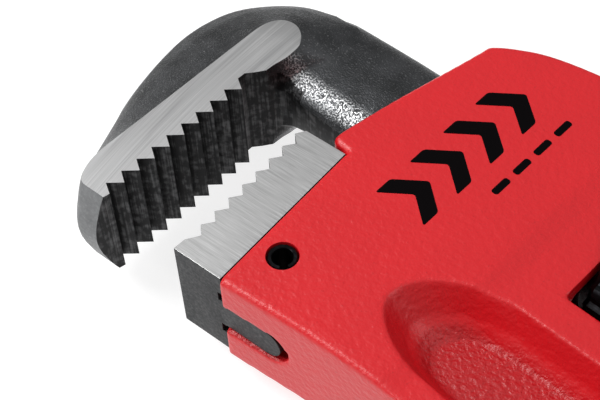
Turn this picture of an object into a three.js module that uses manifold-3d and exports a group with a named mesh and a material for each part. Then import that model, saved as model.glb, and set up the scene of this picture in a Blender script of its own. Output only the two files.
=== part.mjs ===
// Straight pipe wrench, 350 mm class, in millimetres.
// X runs along the shank and the handle, towards the handle's end; the mouth opens to -Y.
// Z is the thickness. The outlines are drawn from the tip of the heel jaw's first tooth,
// at mid-thickness, and the whole wrench is moved at the end to stand on the floor.
import * as THREE from "three";
import { mergeVertices } from "three/addons/utils/BufferGeometryUtils.js";
import Module from "manifold-3d";

const wasm = await Module();
wasm.setup();

// ---- driving dimensions ----
const HEEL_TILT = THREE.MathUtils.degToRad(4.326); // heel jaw against the hook jaw, at rest
const TOOTH_PITCH = 3.852;
const GAP = 0.3; // between pieces that touch

const HEAD_HALF = 12; // half thickness of the housing
const STEP_HALF = 11.5; // behind the shallow step in its face
const GRIP_HALF = 10.4; // half thickness of the grip
const CAST_EDGE = 0.8; // rounding of the casting's outline
const NOSE_Y = 30.05; // underside of the housing's nose, behind the heel jaw

const SHANK_Y = 50.5;
const SHANK_RADIUS = 11.3;
const SHANK_HALF = 7.2; // half thickness over the flats
const SHANK_END = 118;
const THREAD_START = 30;
const THREAD_LEAD = 5;
const THREAD_DEPTH = 1.7;
const THREAD_PLAY = 0.45;

const NUT_X = 67.5;
const NUT_WIDTH = 16.2;
const NUT_RADIUS = 17.6;
const NUT_RIBS = 30;
const WINDOW = { x0: 58.3, x1: 76.7, y0: 31, y1: 70, corner: 0.8 };

const HEEL_HALF = 11.35;
const HEEL_TEETH = 8;
const HEEL_DEPTH = 1.78;
const HEEL_SEAT = 11; // heel frame: where the casting's seat lies
const HEEL_FRONT = -6.86;
const HEEL_BACK = 28.8;
const TONGUE = { half: 3.5, end: 23.6, back: 25 };
const HEEL_RELIEF = { z: 5, half: 1.2, deep: 1.2 }; // the grooves under the jaw, beside the tongue
const HEEL_PIN = { x: 16.56, y: 3.3, radius: 3, bore: 2, half: 11.8, slit: 1.4, slitTurn: -40 };

const HOOK_HALF = 11.2;
const HOOK_TEETH = 9;
const HOOK_TIP_X = -17.59;
const HOOK_DEPTH = 2.5;
const HOOK_FIRST_ROOT_Y = -4.85;
const HOOK_RIM = 7; // height where the forging turns over to its outer side
const HOOK_BULGE = 2.4; // how far the outer side stands out at mid-thickness

const HANDLE_END = { x: 276, y: 12.5, radius: 15.5 };
const HANG_HOLE = 6.5;
const WEB_HALF = 3.5;

const LEAF = { x0: 15, x1: 53, thick: 1.1, half: 5, end: 37.3, dip: 1.2 };
const LEAF_MIDDLE = LEAF.end - LEAF.dip; // the lowest point of its upper face
const COIL = { x: 34, bottom: 27.1, radius: 3.1, wire: 0.45, turns: 5 };
const COIL_POCKET = { bottom: 26.4, radius: 4.2 };
const PASSAGE = { y0: 32.7, y1: 62.6, rearY0: 38.3, rearY1: 63.7, half: 8.2, corner: 3 };

// ---- solids ----
function solid(geometry) {
  const flat = geometry.clone();
  for (const name of Object.keys(flat.attributes)) if (name !== "position") flat.deleteAttribute(name);
  const merged = mergeVertices(flat, 1e-4);
  return new wasm.Manifold(
    new wasm.Mesh({
      numProp: 3,
      vertProperties: new Float32Array(merged.attributes.position.array),
      triVerts: new Uint32Array(merged.index.array),
    }),
  );
}

// Slivers that the cuts leave, thinner than this, are closed up before a piece becomes a mesh.
const SLIVER = 0.03;

function meshOf(body, name, look) {
  const out = body.simplify(SLIVER).getMesh();
  const geometry = new THREE.BufferGeometry();
  geometry.setAttribute("position", new THREE.BufferAttribute(new Float32Array(out.vertProperties), 3));
  geometry.setIndex(new THREE.BufferAttribute(new Uint32Array(out.triVerts), 1));
  geometry.computeVertexNormals();
  const mesh = new THREE.Mesh(geometry, new THREE.MeshStandardMaterial(look));
  mesh.name = name;
  return mesh;
}

// A shape in XY, extruded symmetrically about z = 0.
function plate(shape, half, edge = 0, curveSegments = 8) {
  const geometry = new THREE.ExtrudeGeometry(shape, {
    depth: 2 * (half - edge),
    curveSegments,
    bevelEnabled: edge > 0,
    bevelThickness: edge,
    bevelSize: edge,
    bevelOffset: -edge,
    bevelSegments: 2,
  });
  return solid(geometry.translate(0, 0, edge - half));
}

// A shape whose x is the part's Y and whose y is its Z, extruded from x0 to x1.
function bar(shape, x0, x1, curveSegments = 6) {
  const geometry = new THREE.ExtrudeGeometry(shape, { depth: x1 - x0, curveSegments, bevelEnabled: false });
  const turn = new THREE.Matrix4().set(0, 0, 1, x0, 1, 0, 0, 0, 0, 1, 0, 0, 0, 0, 0, 1);
  return solid(geometry.applyMatrix4(turn));
}

// A shape whose x is the part's X and whose y is its Z, extruded from y0 to y1.
function slab(shape, y0, y1, curveSegments = 6) {
  const geometry = new THREE.ExtrudeGeometry(shape, { depth: y1 - y0, curveSegments, bevelEnabled: false });
  return solid(geometry.rotateX(Math.PI / 2).translate(0, y1, 0));
}

function block(x0, x1, y0, y1, z0, z1) {
  const geometry = new THREE.BoxGeometry(x1 - x0, y1 - y0, z1 - z0);
  return solid(geometry.translate((x0 + x1) / 2, (y0 + y1) / 2, (z0 + z1) / 2));
}

function postZ(x, y, radius, half, segments = 24) {
  const geometry = new THREE.CylinderGeometry(radius, radius, 2 * half, segments);
  return solid(geometry.rotateX(Math.PI / 2).translate(x, y, 0));
}

function roundedRect(x0, x1, y0, y1, r) {
  return new THREE.Shape()
    .moveTo(x0 + r, y0)
    .lineTo(x1 - r, y0)
    .absarc(x1 - r, y0 + r, r, -Math.PI / 2, 0)
    .lineTo(x1, y1 - r)
    .absarc(x1 - r, y1 - r, r, 0, Math.PI / 2)
    .lineTo(x0 + r, y1)
    .absarc(x0 + r, y1 - r, r, Math.PI / 2, Math.PI)
    .lineTo(x0, y0 + r)
    .absarc(x0 + r, y0 + r, r, Math.PI, 1.5 * Math.PI);
}

// A closed skin through rings of points, all with the same number of them.
function loft(rings, flatten) {
  const count = rings[0].length;
  const positions = rings.flat().flatMap((p) => [p.x, p.y, p.z]);
  const index = [];
  for (let r = 0; r < rings.length - 1; r++) {
    for (let i = 0; i < count; i++) {
      const a = r * count + i;
      const b = r * count + ((i + 1) % count);
      index.push(a, b, b + count, a, b + count, a + count);
    }
  }
  const last = (rings.length - 1) * count;
  for (const [a, b, c] of THREE.ShapeUtils.triangulateShape(rings[0].map(flatten), [])) index.push(c, b, a);
  for (const [a, b, c] of THREE.ShapeUtils.triangulateShape(rings.at(-1).map(flatten), []))
    index.push(last + a, last + b, last + c);
  const geometry = new THREE.BufferGeometry();
  geometry.setAttribute("position", new THREE.Float32BufferAttribute(positions, 3));
  geometry.setIndex(index);
  return solid(geometry);
}

const inXY = (p) => new THREE.Vector2(p.x, p.y);
const inYZ = (p) => new THREE.Vector2(p.y, p.z);
const vec = (points) => points.map(([x, y]) => new THREE.Vector2(x, y));

// A point of the heel jaw's own frame, in the frame of the outlines.
function fromHeel(x, y) {
  return new THREE.Vector2(x, y).rotateAround(new THREE.Vector2(), HEEL_TILT);
}

// ---- the handle: housing, window and I-beam grip in one casting ----
function castingOutline() {
  const seatFront = fromHeel(HEEL_SEAT, HEEL_FRONT - 0.9);
  const seatBack = fromHeel(HEEL_SEAT, HEEL_BACK + 0.3);
  const shape = new THREE.Shape().moveTo(seatFront.x, seatFront.y).splineThru(
    vec([[20, -5.9], [32, -4.6], [48, -3.8], [70, -3.6], [125, -3.3], [200, -1.2], [250, -1.4]]),
  );
  const end = HANDLE_END;
  shape.splineThru(vec([[262, -2.2], [end.x, end.y - end.radius]]));
  shape.absarc(end.x, end.y, end.radius, -Math.PI / 2, Math.PI / 2);
  shape.splineThru(vec([[262, 27.3], [250, 26.6], [200, 27.2], [150, 29.6], [122, 31.8], [107, 36.6],
    [99, 45], [96, 56], [93.5, 65], [88, 71], [78, 75.2], [66, 76.9], [52, 77.5], [40, 77.1],
    [30, 76], [21, 73.8], [14.6, 70.6], [11.4, 68.2]]));
  shape.splineThru(vec([[10.2, 62], [7.6, 50], [6, 42], [4.4, 32], [5.6, NOSE_Y]]));
  shape.lineTo(seatBack.x, NOSE_Y).lineTo(seatBack.x, seatBack.y);
  return shape;
}

// The faces are level round the head, step in before the window and taper to the grip.
function castingFaces() {
  const steps = [[0, HEAD_HALF], [45.5, HEAD_HALF], [49.5, STEP_HALF], [98, STEP_HALF],
    [140, GRIP_HALF], [300, GRIP_HALF]];
  const below = steps.map(([x, z]) => [x, -z]).reverse();
  return slab(new THREE.Shape(vec([...steps, ...below])), -10, 90);
}

// The recess that leaves the web: its head end is drawn at the face and at the floor, and its
// straight part runs on to the grip, drawn in from the face's outline by what the floor loses.
const RECESS_FACE = [[52, 24.3], [44.6, 21.8], [38.4, 17.8], [35.5, 13.4], [35.7, 9], [40, 5], [47, 2.2],
  [56, 1.4]];
const RECESS_FLOOR = [[60, 19.4], [51.5, 18.8], [47.6, 16.4], [45.7, 13.2], [46.2, 10.2], [49, 7.4], [54, 6.3],
  [60, 6.3]];
const RECESS_DRAFT = 4.9;

function recess(side) {
  const outline = (deep) => {
    const head = RECESS_FACE.map(([x, y], i) => [x + (RECESS_FLOOR[i][0] - x) * deep,
      y + (RECESS_FLOOR[i][1] - y) * deep]);
    const inset = RECESS_DRAFT * deep;
    return new THREE.Shape()
      .moveTo(...head[0])
      .splineThru(vec(head.slice(1)))
      .lineTo(125, 2.3 + inset)
      .lineTo(200, 4.2 + inset)
      .lineTo(246 - inset, 4.2 + inset)
      .lineTo(252 - inset, 10)
      .lineTo(252 - inset, 15.5)
      .lineTo(246 - inset, 21.2 - inset)
      .lineTo(200, 22 - inset)
      .lineTo(140, 24.2 - inset);
  };
  const ring = (deep, z) => outline(deep).extractPoints(4).shape.map((p) => new THREE.Vector3(p.x, p.y, z));
  const made = loft([ring(1, WEB_HALF), ring(0.53, 6.6), ring(0, HEAD_HALF + 0.5)], inXY);
  return side > 0 ? made : made.mirror([0, 0, 1]);
}

function heelSlot(half, end, y0, y1) {
  const shape = new THREE.Shape()
    .moveTo(HEEL_SEAT - 4, -half)
    .lineTo(end - half, -half)
    .absarc(end - half, 0, half, -Math.PI / 2, Math.PI / 2)
    .lineTo(HEEL_SEAT - 4, half);
  return slab(shape, y0, y1).rotate([0, 0, THREE.MathUtils.radToDeg(HEEL_TILT)]);
}

function handleCasting() {
  const { x0, x1, y0, y1, corner } = WINDOW;
  const p = PASSAGE;
  const pin = fromHeel(HEEL_PIN.x, HEEL_PIN.y);
  const pocket = new THREE.CylinderGeometry(COIL_POCKET.radius, COIL_POCKET.radius,
    p.y0 + 1 - COIL_POCKET.bottom, 20);
  return plate(castingOutline(), HEAD_HALF, CAST_EDGE, 5)
    .intersect(castingFaces())
    .subtract(recess(1))
    .subtract(recess(-1))
    .subtract(plate(roundedRect(x0, x1, y0, y1, corner), 20, 0, 3))
    .subtract(bar(roundedRect(p.y0, p.y1, -p.half, p.half, p.corner), -5, x0 + 1, 3))
    .subtract(bar(roundedRect(p.rearY0, p.rearY1, -p.half, p.half, p.corner), x1 - 1, 110, 3))
    .subtract(heelSlot(TONGUE.half + GAP, TONGUE.end + 1.8, HEEL_FRONT - 5, TONGUE.back + 0.6))
    .subtract(solid(pocket.translate(COIL.x, (p.y0 + 1 + COIL_POCKET.bottom) / 2, 0)))
    .subtract(postZ(pin.x, pin.y, HEEL_PIN.radius + GAP, 20))
    .subtract(postZ(HANDLE_END.x, HANDLE_END.y, HANG_HOLE, 20, 28));
}

// ---- the heel jaw, in its own frame ----
function heelJaw() {
  const rootX = HEEL_DEPTH;
  const shape = new THREE.Shape().moveTo(HEEL_SEAT - GAP, HEEL_FRONT).lineTo(-0.3, HEEL_FRONT).lineTo(0, -4.2);
  for (let k = 0; k < HEEL_TEETH; k++) {
    shape.lineTo(rootX, (k - 0.437) * TOOTH_PITCH).lineTo(0, k * TOOTH_PITCH);
  }
  shape.lineTo(1.33, HEEL_BACK).lineTo(HEEL_SEAT - GAP, HEEL_BACK);
  const body = plate(shape, HEEL_HALF);
  const tongue = new THREE.Shape()
    .moveTo(HEEL_SEAT - 3, -TONGUE.half)
    .lineTo(TONGUE.end - TONGUE.half, -TONGUE.half)
    .absarc(TONGUE.end - TONGUE.half, 0, TONGUE.half, -Math.PI / 2, Math.PI / 2)
    .lineTo(HEEL_SEAT - 3, TONGUE.half);
  const relief = (z) => block(HEEL_SEAT - GAP - HEEL_RELIEF.deep, HEEL_SEAT + GAP, HEEL_FRONT - 1, HEEL_BACK + 1,
    z - HEEL_RELIEF.half, z + HEEL_RELIEF.half);
  return body
    .subtract(relief(HEEL_RELIEF.z))
    .subtract(relief(-HEEL_RELIEF.z))
    .add(slab(tongue, HEEL_FRONT, TONGUE.back))
    .subtract(postZ(HEEL_PIN.x, HEEL_PIN.y, HEEL_PIN.radius + GAP, 20))
    .rotate([0, 0, THREE.MathUtils.radToDeg(HEEL_TILT)]);
}

// A rolled spring pin: a tube with a slit along it and a chamfer at each end.
function heelJawPin() {
  const { radius, bore, half } = HEEL_PIN;
  const profile = vec([[bore, -half], [radius - 0.5, -half], [radius, 0.6 - half], [radius, half - 0.6],
    [radius - 0.5, half], [bore, half], [bore, -half]]);
  const at = fromHeel(HEEL_PIN.x, HEEL_PIN.y);
  const tube = new THREE.LatheGeometry(profile, 24).rotateX(Math.PI / 2).translate(at.x, at.y, 0);
  const slit = block(0, radius + 1, -HEEL_PIN.slit / 2, HEEL_PIN.slit / 2, -half - 1, half + 1);
  return solid(tube).subtract(slit.rotate([0, 0, HEEL_PIN.slitTurn]).translate([at.x, at.y, 0]));
}

// ---- the hook jaw: a forging with ground pads, broached teeth and a threaded shank ----
// One helical surface makes the shank's thread and, wider by the play, the nut's.
function threadedRod(x0, x1, play, around = 24) {
  const root = SHANK_RADIUS - THREAD_DEPTH;
  const profile = [[0, root], [0.16, root], [0.42, SHANK_RADIUS], [0.74, SHANK_RADIUS]];
  const first = Math.floor(x0 / THREAD_LEAD) - 1;
  const last = Math.ceil(x1 / THREAD_LEAD) + 1;
  const rings = [];
  for (let turn = first; turn < last; turn++) {
    for (const [along, radius] of profile) {
      const ring = [];
      for (let i = 0; i < around; i++) {
        const angle = (2 * Math.PI * i) / around;
        const x = (turn + along + i / around) * THREAD_LEAD;
        const r = radius + play;
        ring.push(new THREE.Vector3(x, SHANK_Y + r * Math.cos(angle), r * Math.sin(angle)));
      }
      rings.push(ring);
    }
  }
  return helicalSkin(rings).intersect(block(x0, x1, SHANK_Y - 30, SHANK_Y + 30, -30, 30));
}

// Rings that each climb by one lead: a ring's last point joins the next turn's first one.
function helicalSkin(rings) {
  const around = rings[0].length;
  const perTurn = 4;
  const positions = rings.flat().flatMap((p) => [p.x, p.y, p.z]);
  const index = [];
  const at = (r, i) => (i < around ? r * around + i : (r + perTurn) * around);
  const rows = rings.length - perTurn;
  for (let r = 0; r < rows - 1; r++) {
    for (let i = 0; i < around; i++) {
      const [a, b, c, d] = [at(r, i), at(r, i + 1), at(r + 1, i + 1), at(r + 1, i)];
      index.push(a, b, c, a, c, d);
    }
  }
  // Each end is closed by a fan from the axis, with the step between its first and last points.
  const fan = (r, flip) => {
    const hub = positions.length / 3;
    const mid = rings[r][Math.floor(around / 2)];
    positions.push(mid.x, SHANK_Y, 0);
    const edge = [];
    for (let i = 0; i <= around; i++) edge.push(at(r, i));
    for (let k = perTurn - 1; k > 0; k--) edge.push(at(r + k, 0));
    edge.forEach((a, i) => {
      const b = edge[(i + 1) % edge.length];
      index.push(...(flip ? [hub, a, b] : [hub, b, a]));
    });
  };
  fan(0, false);
  fan(rows - 1, true);
  const geometry = new THREE.BufferGeometry();
  geometry.setAttribute("position", new THREE.Float32BufferAttribute(positions, 3));
  geometry.setIndex(index);
  return solid(geometry);
}

// The outer outline of the jaw at the rim's height, from the tip round to the back of the neck.
function rimCurve(out) {
  const curve = new THREE.SplineCurve(vec([[-27.4, -4.2], [-29.6, 0.2], [-33, 8.6], [-36.2, 17.3],
    [-38.5, 27], [-39.2, 35.5], [-37.4, 44], [-33.2, 50.2], [-27, 55.4], [-20, 58]]));
  return curve.getSpacedPoints(18).map((p, i, all) => {
    const a = all[Math.max(i - 1, 0)];
    const b = all[Math.min(i + 1, all.length - 1)];
    const along = new THREE.Vector2().subVectors(b, a).normalize();
    const grown = out * Math.min(i / 5, 1); // the tip's front facet stands upright
    return new THREE.Vector2(p.x - along.y * grown, p.y + along.x * grown);
  });
}

// The outline of the ground pad, with as many points as the rim's.
function padCurve() {
  const path = new THREE.Path()
    .moveTo(-25.9, -4.5)
    .lineTo(-26.7, -0.8)
    .lineTo(-26.75, 41.4)
    .splineThru(vec([[-26.3, 44.4], [-25.05, 46.6], [-23.5, 47.55], [-20.6, 47.5]]));
  return path.getSpacedPoints(18);
}

// A level of the jaw: its height, its outer outline, how far its tip reaches down and how far
// its inner end has spread from the pad, 0, to the neck, 1.
function jawBlock() {
  const pad = padCurve();
  const rim = rimCurve(0);
  const across = (t) => pad.map((p, i) => p.clone().lerp(rim[i], t));
  const padEnd = vec([[-18.3, 46], [-17.1, 44.3], [-16.8, 40], [-17.3, 37.4]]);
  const neckEnd = vec([[-12.5, 55.5], [-11, 48], [-14.5, 41], [-15.5, 38]]);
  const levels = [[HOOK_HALF + 0.3, pad, -7.45, 0], [10.2, across(0.3), -7.9, 0.3], [8.8, across(0.68), -8.5, 0.65],
    [HOOK_RIM, rim, -9.1, 1], [4, rimCurve(HOOK_BULGE * 0.72), -10, 1], [0, rimCurve(HOOK_BULGE), -10.6, 1]];
  const ring = ([z, outer, low, spread], side) => [
    ...outer,
    ...padEnd.map((p, i) => p.clone().lerp(neckEnd[i], spread)),
    ...vec([[-17.4, 34.6], [-19.9, 31.4], [-17, 29], [-17, low], [-18.5, low], [-23.6, low - 0.35],
      [-24.9, low + 0.7]]),
  ].map((p) => new THREE.Vector3(p.x, p.y, z * side));
  const below = levels.slice(0, -1).map((level) => ring(level, -1));
  const above = levels.map((level) => ring(level, 1)).reverse();
  return loft([...below, ...above].map((r) => r.reverse()), inXY);
}

// The neck runs from the jaw block into the shank, section by section: x, y from, y to, half height.
function neck() {
  const sections = [[-26, 36, 56.5, 6.4], [-22, 34.4, 59.2, 7.2], [-18.6, 34.4, 60.6, 7.5], [-16.4, 35.2, 61, 7.7],
    [-13.6, 36.8, 61.2, 7.5], [-10.4, 37.2, 61.4, 7.3], [-6.5, 37.2, 61.6, SHANK_HALF], [0, 37.3, 61.8, SHANK_HALF],
    [12, 38.6, 61.8, SHANK_HALF], [20, 39.2, 61.8, SHANK_HALF], [THREAD_START - 0.6, 39.2, 61.8, SHANK_HALF],
    [THREAD_START + 1, 41.6, 59.4, 6.3]];
  const power = (t, n) => Math.sign(t) * Math.abs(t) ** (2 / n);
  const around = 28;
  const rings = sections.map(([x, y0, y1, half]) =>
    Array.from({ length: around }, (_, i) => {
      const angle = (2 * Math.PI * (i + 0.5)) / around;
      return new THREE.Vector3(x, (y0 + y1) / 2 + ((y1 - y0) / 2) * power(Math.cos(angle), 3),
        half * power(Math.sin(angle), 3));
    }));
  return loft(rings, inYZ);
}

// What the broach takes away: everything in front of the row of raked teeth and of the throat.
const THROAT = [[-20.09, 31.6], [-18.74, 33.2], [-17.6, 34.8], [-16.4, 36.2], [-14.8, 37.1], [-13, 37.23],
  [-0.5, 37.23]];

function toothCutter() {
  const rootX = HOOK_TIP_X - HOOK_DEPTH;
  const shape = new THREE.Shape().moveTo(-0.5, -20).lineTo(-20.6, -20).lineTo(-17.66, -6.1);
  for (let k = 0; k <= HOOK_TEETH; k++) {
    const rootY = HOOK_FIRST_ROOT_Y + k * TOOTH_PITCH;
    shape.lineTo(rootX, rootY);
    if (k < HOOK_TEETH) shape.lineTo(HOOK_TIP_X, rootY + 0.615 * TOOTH_PITCH);
  }
  for (const [x, y] of THROAT) shape.lineTo(x, y);
  return plate(shape, 20);
}

function hookJaw() {
  const slabOfPads = block(-60, 130, -30, 90, -HOOK_HALF, HOOK_HALF);
  const flats = block(THREAD_START, SHANK_END, 20, 80, -SHANK_HALF, SHANK_HALF);
  const end = new THREE.LatheGeometry(vec([[0, 0], [14, 0], [14, SHANK_END - 3], [9.6, SHANK_END + 0.4],
    [0, SHANK_END + 0.4]]), 24).rotateZ(-Math.PI / 2).translate(0, SHANK_Y, 0);
  return jawBlock()
    .add(neck())
    .subtract(toothCutter())
    .intersect(slabOfPads)
    .add(threadedRod(THREAD_START, SHANK_END, 0).intersect(flats).intersect(solid(end)));
}

// ---- the adjusting nut ----
function adjustingNut() {
  const shape = new THREE.Shape();
  for (let i = 0; i < NUT_RIBS; i++) {
    const at = (turn, radius) => {
      const angle = (2 * Math.PI * (i + turn)) / NUT_RIBS;
      return [radius * Math.cos(angle), radius * Math.sin(angle)];
    };
    const corners = [at(0, NUT_RADIUS), at(0.45, NUT_RADIUS), at(0.62, NUT_RADIUS - 0.9), at(0.83, NUT_RADIUS - 0.9)];
    corners.forEach(([x, y]) => (shape.curves.length || shape.currentPoint.length()
      ? shape.lineTo(x, y) : shape.moveTo(x, y)));
  }
  const ring = new THREE.ExtrudeGeometry(shape, {
    depth: NUT_WIDTH - 2.4,
    bevelThickness: 1.2,
    bevelSize: 1.2,
    bevelOffset: -1.2,
    bevelSegments: 1,
  });
  const turn = new THREE.Matrix4().set(0, 0, 1, NUT_X - NUT_WIDTH / 2 + 1.2, 1, 0, 0, SHANK_Y, 0, 1, 0, 0, 0, 0, 0, 1);
  return solid(ring.applyMatrix4(turn)).subtract(threadedRod(NUT_X - 12, NUT_X + 12, THREAD_PLAY));
}

// ---- the springs that throw the hook jaw back, between the shank and the housing ----
function flatSpring() {
  const { x0, x1, thick, half, end, dip } = LEAF;
  const count = 12;
  const edge = (drop) => Array.from({ length: count + 1 }, (_, i) => {
    const t = i / count;
    return [x0 + (x1 - x0) * t, end - drop - 4 * dip * t * (1 - t)];
  });
  const leaf = plate(new THREE.Shape(vec([...edge(thick), ...edge(0).reverse()])), half);
  return leaf.subtract(rivetShank(1.35));
}

function rivetShank(radius) {
  const geometry = new THREE.CylinderGeometry(radius, radius, 12, 16);
  return solid(geometry.translate(COIL.x, LEAF_MIDDLE, 0));
}

function springRivet() {
  const top = LEAF_MIDDLE + 0.15;
  const low = LEAF_MIDDLE - LEAF.thick - 0.15;
  const profile = vec([[0, low - 2.2], [1.1, low - 2.2], [1.1, top], [2.3, top], [1.9, top + 0.8], [0, top + 1]]);
  const collar = vec([[0, low - 0.7], [2.3, low - 0.7], [2.3, low], [0, low]]);
  return solid(new THREE.LatheGeometry(profile, 16))
    .add(solid(new THREE.LatheGeometry(collar, 16)))
    .translate([COIL.x, 0, 0]);
}

function coilSpring() {
  const top = LEAF_MIDDLE - LEAF.thick - 0.9;
  const height = top - COIL.bottom - 2 * COIL.wire;
  const steps = COIL.turns * 12;
  const points = Array.from({ length: steps + 1 }, (_, i) => {
    const turn = (i / steps) * COIL.turns;
    const dead = 0.75; // the closed turn at each end
    const rise = THREE.MathUtils.clamp((turn - dead) / (COIL.turns - 2 * dead), 0, 1);
    const closing = 2 * COIL.wire * 1.15;
    const ends = Math.min(turn, dead) / dead + Math.max(turn - COIL.turns + dead, 0) / dead;
    const y = COIL.bottom + COIL.wire + (closing * ends) / 2 + rise * (height - closing);
    const angle = 2 * Math.PI * turn;
    return new THREE.Vector3(COIL.x + COIL.radius * Math.cos(angle), y, COIL.radius * Math.sin(angle));
  });
  const wire = new THREE.Shape().absarc(0, 0, COIL.wire, 0, 2 * Math.PI);
  return solid(new THREE.ExtrudeGeometry(wire, {
    extrudePath: new THREE.CatmullRomCurve3(points),
    steps,
    curveSegments: 3,
    bevelEnabled: false,
  }));
}

// ---- the wrench ----
const RED = { color: 0xdd2a2f, roughness: 0.42, metalness: 0 };
const FORGED = { color: 0x4c4d4e, roughness: 0.55, metalness: 0.9 };
const GROUND = { color: 0xa6a6a6, roughness: 0.35, metalness: 1 };
const BLACKENED = { color: 0x141416, roughness: 0.45, metalness: 0.8 };
const SPRING = { color: 0x5a5f66, roughness: 0.4, metalness: 1 };

const wrench = new THREE.Group();
wrench.add(
  meshOf(handleCasting(), "handle_casting", RED),
  meshOf(heelJaw(), "heel_jaw", GROUND),
  meshOf(heelJawPin(), "heel_jaw_pin", BLACKENED),
  meshOf(hookJaw(), "hook_jaw", FORGED),
  meshOf(adjustingNut(), "adjusting_nut", BLACKENED),
  meshOf(flatSpring(), "flat_spring", SPRING),
  meshOf(coilSpring(), "coil_spring", SPRING),
  meshOf(springRivet(), "spring_rivet", SPRING),
);

// The part's origin is the middle of its footprint, on the floor.
const box = new THREE.Box3().setFromObject(wrench);
const middle = box.getCenter(new THREE.Vector3());
wrench.position.set(-middle.x, -middle.y, -box.min.z);

export default wrench;
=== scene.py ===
"""Looks of a straight pipe wrench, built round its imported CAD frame.

Shapes are drawn in millimetres, in the wrench's own drawing frame: X runs along the shank
and the handle, -Y is the open side of the mouth and Z is the thickness, with its zero at
mid-thickness. The adjusting nut's box ties that drawing to the frame.
"""

import logging
import math
from dataclasses import dataclass, field
from enum import Enum
from typing import Sequence

import bmesh
import bpy
from mathutils import Matrix, Vector


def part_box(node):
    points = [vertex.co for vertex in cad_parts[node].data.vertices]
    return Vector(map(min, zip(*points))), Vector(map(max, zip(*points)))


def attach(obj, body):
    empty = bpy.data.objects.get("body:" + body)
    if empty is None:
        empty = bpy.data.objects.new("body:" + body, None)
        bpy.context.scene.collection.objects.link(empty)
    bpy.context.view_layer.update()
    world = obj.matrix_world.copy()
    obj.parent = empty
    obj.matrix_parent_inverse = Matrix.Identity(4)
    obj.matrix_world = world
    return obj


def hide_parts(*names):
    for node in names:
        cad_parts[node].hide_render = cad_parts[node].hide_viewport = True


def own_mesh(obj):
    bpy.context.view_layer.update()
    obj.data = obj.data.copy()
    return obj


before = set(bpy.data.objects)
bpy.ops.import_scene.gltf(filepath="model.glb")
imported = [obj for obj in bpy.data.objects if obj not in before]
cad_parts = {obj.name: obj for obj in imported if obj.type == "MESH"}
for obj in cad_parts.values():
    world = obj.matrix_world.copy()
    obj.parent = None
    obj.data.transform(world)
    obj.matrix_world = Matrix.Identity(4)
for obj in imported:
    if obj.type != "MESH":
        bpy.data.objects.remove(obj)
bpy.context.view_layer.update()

LOG = logging.getLogger("pipe_wrench")
MM = 0.001
NUT_CENTRE = Vector((67.5, 50.5, 0.0))  # the nut's centre in the drawing
HEEL_TILT = math.radians(4.326)


def drawing_to_row() -> Matrix:
    """Gives the matrix from drawing millimetres to the row frame's metres."""
    low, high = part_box("adjusting_nut")
    scale = Matrix.Scale(MM, 4)
    return Matrix.Translation((low + high) / 2) @ scale @ Matrix.Translation(-NUT_CENTRE)


TO_ROW = drawing_to_row()
HEEL_TO_DRAWING = Matrix.Rotation(HEEL_TILT, 4, "Z")


# ---------------------------------------------------------------- node and mesh helpers

def srgb(hex_code: str) -> tuple[float, float, float, float]:
    """Turns an sRGB hex colour into linear RGBA.

    Args:
        hex_code: Six hex digits with a leading "#".

    Returns:
        Linear red, green and blue, with an alpha of one.
    """
    parts = [int(hex_code[i:i + 2], 16) / 255 for i in (1, 3, 5)]
    linear = [c / 12.92 if c <= 0.04045 else ((c + 0.055) / 1.055) ** 2.4 for c in parts]
    return (*linear, 1.0)


def add(tree: bpy.types.NodeTree, kind: str, inputs: dict | None = None, **settings: object) -> bpy.types.Node:
    """Adds a node to a tree.

    Args:
        tree: The material's node tree.
        kind: The node's type name, without its ShaderNode prefix.
        inputs: Input names or numbers, each with a socket to link or a value to set.
        settings: Properties of the node itself.

    Returns:
        The new node.
    """
    made = tree.nodes.new("ShaderNode" + kind)
    for name, value in settings.items():
        setattr(made, name, value)
    for key, value in (inputs or {}).items():
        if isinstance(value, bpy.types.NodeSocket):
            tree.links.new(value, made.inputs[key])
        else:
            made.inputs[key].default_value = value
    return made


def per_metre(size_mm: float) -> float:
    """Gives a texture scale whose features are size_mm across, on coordinates in metres."""
    return 1.0 / (size_mm * MM)


def curve_through(points: Sequence[Sequence[float]], count: int) -> list[Vector]:
    """Samples a Catmull-Rom curve evenly along its length.

    Args:
        points: The points that the curve passes through, in the drawing plane.
        count: How many samples to give, both ends among them.

    Returns:
        The samples, as points with a height of zero.
    """
    knots = [Vector((*p, 0.0)) for p in points]
    padded = [2 * knots[0] - knots[1], *knots, 2 * knots[-1] - knots[-2]]
    fine: list[Vector] = []
    for a, b, c, d in zip(padded, padded[1:], padded[2:], padded[3:]):
        for step in range(24):
            t = step / 24
            fine.append(0.5 * ((2 * b) + (c - a) * t + (2 * a - 5 * b + 4 * c - d) * t ** 2
                               + (3 * b - a - 3 * c + d) * t ** 3))
    fine.append(knots[-1])
    run = [0.0]
    for a, b in zip(fine, fine[1:]):
        run.append(run[-1] + (b - a).length)
    samples, at = [], 0
    for i in range(count):
        target = run[-1] * i / (count - 1)
        while at < len(run) - 2 and run[at + 1] < target:
            at += 1
        part = (target - run[at]) / max(run[at + 1] - run[at], 1e-9)
        samples.append(fine[at].lerp(fine[at + 1], min(max(part, 0.0), 1.0)))
    return samples


def add_loft(bm: bmesh.types.BMesh, rings: Sequence[Sequence[Vector]]) -> None:
    """Adds a closed skin through rings of equally many points.

    Args:
        bm: The mesh that gets the skin.
        rings: The rings in order, each a closed loop of points.
    """
    loops = []
    for points in rings:
        verts = [bm.verts.new(p) for p in points]
        loops.append([bm.edges.new((a, b)) for a, b in zip(verts, verts[1:] + verts[:1])])
    faces = []
    for a, b in zip(loops, loops[1:]):
        faces += bmesh.ops.bridge_loops(bm, edges=a + b)["faces"]
    for end in (loops[0], loops[-1]):
        faces += bmesh.ops.edgeloop_fill(bm, edges=end)["faces"]
    bmesh.ops.recalc_face_normals(bm, faces=faces)


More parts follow.
